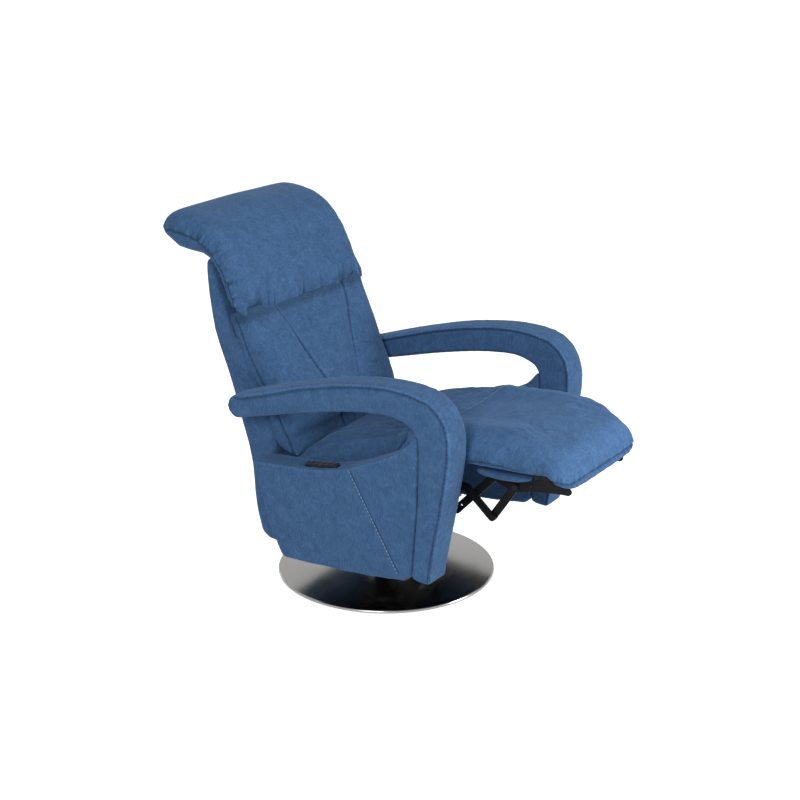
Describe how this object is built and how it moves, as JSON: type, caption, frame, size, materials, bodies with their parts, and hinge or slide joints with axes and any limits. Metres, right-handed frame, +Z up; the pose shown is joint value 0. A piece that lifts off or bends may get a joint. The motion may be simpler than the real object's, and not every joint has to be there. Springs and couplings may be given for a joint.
{
  "type": "swivel recliner",
  "caption": "Upholstered swivel recliner with curved arm bands, a curling headrest and a linked footrest, on a round steel base.",
  "frame": {"origin": "swivel axis at floor level", "axes": "+Z up; the chair faces -Y; +X is the sitter's left"},
  "size_m": [0.7, 1.2048, 1.012],
  "materials": {
    "cover": "stainless steel, spun brush marks, satin",
    "black_paint": "black powder coat, semi-matt",
    "weight": "black paint on a steel plate",
    "glide": "black nylon, matt",
    "bright_steel": "zinc-plated steel, bright",
    "board": "bare plywood",
    "velour": "blue microfibre velour with a short brushed nap",
    "webbing": "dark elastic webbing",
    "drive_plastic": "black moulded plastic, matt",
    "button_plastic": "dark grey moulded plastic, satin"
  },
  "bodies": {
    "base": {"base_cover": "cover", "base_weight": "weight", "base_glides": "glide", "centre_column": "black_paint", "column_bolts": "bright_steel", "bearing_lower_race": "bright_steel", "bearing_balls": "bright_steel"},
    "chassis": {"bearing_upper_race": "bright_steel", "swivel_plate": "black_paint", "swivel_bolts": "bright_steel", "cross_rails": "black_paint", "mechanism_plates": "black_paint", "spreader_tubes": "black_paint", "seat_deck": "board", "seat_cushion": "velour", "arm_band_left": "velour", "arm_band_right": "velour", "side_panel_left": "velour", "side_panel_right": "velour", "control_housing": "drive_plastic", "footrest_drive": "drive_plastic", "recline_drive": "drive_plastic", "front_pivot_rivets": "bright_steel"},
    "backrest": {"back_uprights": "black_paint", "back_crossbars": "black_paint", "back_hinge_plates": "black_paint", "back_belts": "webbing", "back_torque_tube": "black_paint", "back_shell": "velour", "back_cushion": "velour", "headrest_hinge_pins": "bright_steel"},
    "headrest": {"headrest_frame": "black_paint", "headrest_cushion": "velour"},
    "footrest": {"footrest_pad": "velour", "footrest_board": "board", "footrest_side_rolls": "velour", "footrest_brackets": "black_paint", "bracket_rivets": "bright_steel"},
    "front_crank": {"front_cranks": "black_paint", "front_elbow_rivets": "bright_steel"},
    "front_coupler": {"front_couplers": "black_paint"},
    "rear_crank": {"rear_cranks": "black_paint", "footrest_torque_tube": "black_paint", "rear_elbow_rivets": "bright_steel"},
    "rear_coupler": {"rear_couplers": "black_paint"},
    "footrest_slider": {"footrest_carriage": "drive_plastic"},
    "recline_slider": {"recline_carriage": "drive_plastic"},
    "button_body_1": {"button_1": "button_plastic"},
    "button_body_2": {"button_2": "button_plastic"},
    "button_body_3": {"button_3": "button_plastic"},
    "button_body_4": {"button_4": "button_plastic"},
    "button_body_5": {"button_5": "button_plastic"}
  },
  "joints": [
    {"name": "swivel", "type": "hinge", "parent": "base", "child": "chassis", "pos_m": [0, 0, 0.134], "axis": [0, 0, 1], "continuous": true},
    {"name": "recline", "type": "hinge", "parent": "chassis", "child": "backrest", "pos_m": [0, 0.15, 0.365], "axis": [-1, 0, 0], "range_deg": [-8, 28]},
    {"name": "headrest_tilt", "type": "hinge", "parent": "backrest", "child": "headrest", "pos_m": [0, 0.3126, 0.7327], "axis": [1, 0, 0], "range_deg": [0, 20]},
    {"name": "footrest_fold", "type": "hinge", "parent": "chassis", "child": "footrest", "pos_m": [0, -0.25, 0.49], "axis": [1, 0, 0], "range_deg": [0, 80]},
    {"name": "front_crank_turn", "type": "hinge", "parent": "chassis", "child": "front_crank", "pos_m": [0, -0.189, 0.398], "axis": [1, 0, 0], "range_deg": [0, 80]},
    {"name": "front_coupler_turn", "type": "hinge", "parent": "front_crank", "child": "front_coupler", "pos_m": [0, -0.425, 0.307], "axis": [1, 0, 0], "range_deg": [-80, 0]},
    {"name": "rear_crank_turn", "type": "hinge", "parent": "chassis", "child": "rear_crank", "pos_m": [0, -0.14, 0.374], "axis": [1, 0, 0], "range_deg": [0, 80]},
    {"name": "rear_coupler_turn", "type": "hinge", "parent": "rear_crank", "child": "rear_coupler", "pos_m": [0, -0.318, 0.302], "axis": [1, 0, 0], "range_deg": [-80, 0]},
    {"name": "footrest_slider_travel", "type": "slide", "parent": "chassis", "child": "footrest_slider", "axis": [0, 1, 0], "range_m": [0, 0.1104]},
    {"name": "recline_slider_travel", "type": "slide", "parent": "chassis", "child": "recline_slider", "axis": [0, -1, 0], "range_m": [-0.0128, 0.0446]},
    {"name": "button_1_press", "type": "slide", "parent": "chassis", "child": "button_body_1", "axis": [0, -0.1471, -0.9891], "range_m": [0, 0.0015], "stiffness_N_per_m": 400},
    {"name": "button_2_press", "type": "slide", "parent": "chassis", "child": "button_body_2", "axis": [0, -0.1471, -0.9891], "range_m": [0, 0.0015], "stiffness_N_per_m": 400},
    {"name": "button_3_press", "type": "slide", "parent": "chassis", "child": "button_body_3", "axis": [0, -0.1471, -0.9891], "range_m": [0, 0.0015], "stiffness_N_per_m": 400},
    {"name": "button_4_press", "type": "slide", "parent": "chassis", "child": "button_body_4", "axis": [0, -0.1471, -0.9891], "range_m": [0, 0.0015], "stiffness_N_per_m": 400},
    {"name": "button_5_press", "type": "slide", "parent": "chassis", "child": "button_body_5", "axis": [0, -0.1471, -0.9891], "range_m": [0, 0.0015], "stiffness_N_per_m": 400}
  ],
  "couplings": [
    {"joint": "front_crank_turn", "follows": "footrest_fold", "ratio": 1},
    {"joint": "front_coupler_turn", "follows": "footrest_fold", "ratio": -1},
    {"joint": "rear_crank_turn", "follows": "footrest_fold", "ratio": 1},
    {"joint": "rear_coupler_turn", "follows": "footrest_fold", "ratio": -1},
    {"joint": "footrest_slider_travel", "follows": "footrest_fold", "m_per_rad": 0.079},
    {"joint": "recline_slider_travel", "follows": "recline", "m_per_rad": 0.091}
  ]
}
